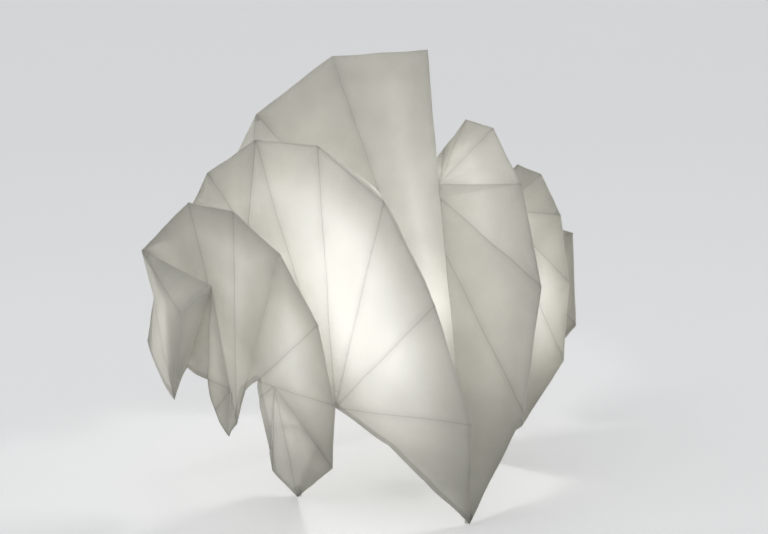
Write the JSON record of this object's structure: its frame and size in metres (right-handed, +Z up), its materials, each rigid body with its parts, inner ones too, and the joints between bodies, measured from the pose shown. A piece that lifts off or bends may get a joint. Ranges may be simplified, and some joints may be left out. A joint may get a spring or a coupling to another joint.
{
  "type": "pleated paper table lamp",
  "caption": "Table lamp with a fan-shaped pleated paper shade standing on three pointed tips, with a wire frame, screw lampholder and LED bulb inside.",
  "frame": {"origin": "middle of the lamp's length and width, on the table that its feet stand on", "axes": "+X towards the lamp's front, where the two inner ridges meet in one tip; +Y to the lamp's left as it faces out, which is right in a view of its front; +Z up. The lamp is mirror-symmetric about y = 0."},
  "size_m": [0.3849, 0.5066, 0.4795],
  "materials": {
    "paper": "stiff folded lampshade paper, matt",
    "wire_paint": "white powder coat on steel wire",
    "clip_plastic": "matt white",
    "holder_plastic": "satin white moulded",
    "porcelain": "glazed",
    "contact_metal": "bright",
    "inlet_metal": "zinc plated",
    "cap_metal": "satin",
    "insulator": "black",
    "bulb_plastic": "white",
    "diffuser": "frosted white",
    "board": "white coated",
    "chips": "phosphor"
  },
  "bodies": {
    "lamp": {"arm_front": "wire_paint", "arm_left": "wire_paint", "arm_right": "wire_paint", "contact_strip": "contact_metal", "cord_inlet": "inlet_metal", "crown_back": "paper", "crown_front": "paper", "crown_side_left": "paper", "crown_side_right": "paper", "end_flap_left": "paper", "end_flap_right": "paper", "end_pleat_left": "paper", "end_pleat_right": "paper", "fitter_ring": "wire_paint", "foot_front": "clip_plastic", "foot_left": "clip_plastic", "foot_right": "clip_plastic", "holder_cap": "holder_plastic", "holder_insert": "porcelain", "holder_skirt": "holder_plastic", "inner_pleat_inside_left": "paper", "inner_pleat_inside_right": "paper", "inner_pleat_outside_left": "paper", "inner_pleat_outside_right": "paper", "leg_front": "wire_paint", "leg_left": "wire_paint", "leg_right": "wire_paint", "lock_nut": "inlet_metal", "outer_pleat_inside_left": "paper", "outer_pleat_inside_right": "paper", "outer_pleat_outside_left": "paper", "outer_pleat_outside_right": "paper", "ring": "wire_paint", "ring_clip_front_left": "clip_plastic", "ring_clip_front_right": "clip_plastic", "ring_clip_side_left": "clip_plastic", "ring_clip_side_right": "clip_plastic", "screw_shell": "contact_metal", "shade_ring_lower": "holder_plastic", "shade_ring_upper": "holder_plastic"},
    "bulb_core": {"bulb_contact": "contact_metal", "bulb_insulator": "insulator"},
    "bulb": {"bulb_cap": "cap_metal", "bulb_body": "bulb_plastic", "bulb_globe": "diffuser", "led_board": "board", "led_chips": "chips"}
  },
  "joints": [
    {"name": "bulb_lift", "type": "slide", "parent": "lamp", "child": "bulb_core", "axis": [0, 0, 1], "range_m": [0, 0.0091]},
    {"name": "bulb_turn", "type": "hinge", "parent": "bulb_core", "child": "bulb", "pos_m": [0.025, 0, 0.18], "axis": [0, 0, 1], "range_deg": [0, 900]}
  ],
  "couplings": [
    {"joint": "bulb_lift", "follows": "bulb_turn", "m_per_rad": 0.00057757}
  ]
}
